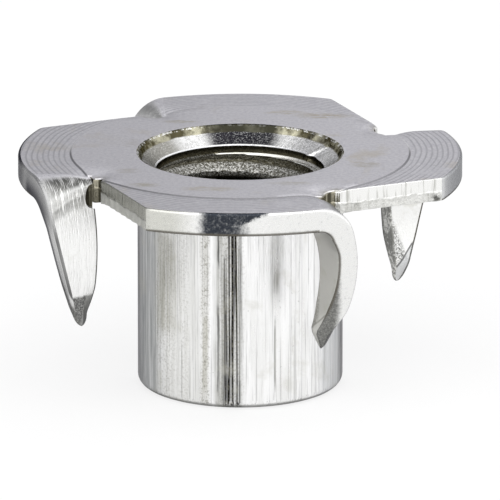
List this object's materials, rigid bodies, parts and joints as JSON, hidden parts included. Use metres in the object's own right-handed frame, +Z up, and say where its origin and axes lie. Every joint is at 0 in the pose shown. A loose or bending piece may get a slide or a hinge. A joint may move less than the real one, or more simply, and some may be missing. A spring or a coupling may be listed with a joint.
{
  "type": "tee nut",
  "caption": "Pressed steel tee nut: threaded barrel under a lobed flange whose folded claws bite into wood and stop it turning.",
  "frame": {"origin": "centre of the barrel's lower end, on the bore's axis", "axes": "+Z up the bore's axis from the barrel's end to the flange's top; +X along the fold and the sheared edge of one lobe"},
  "size_m": [0.0216, 0.0216, 0.0116],
  "materials": {
    "zinc_plated_steel": "bright zinc plating over pressed steel, with draw lines, sheared edges and a slight olive tint in the recesses"
  },
  "bodies": {
    "root": {"tee_nut": "zinc_plated_steel"}
  },
  "joints": []
}
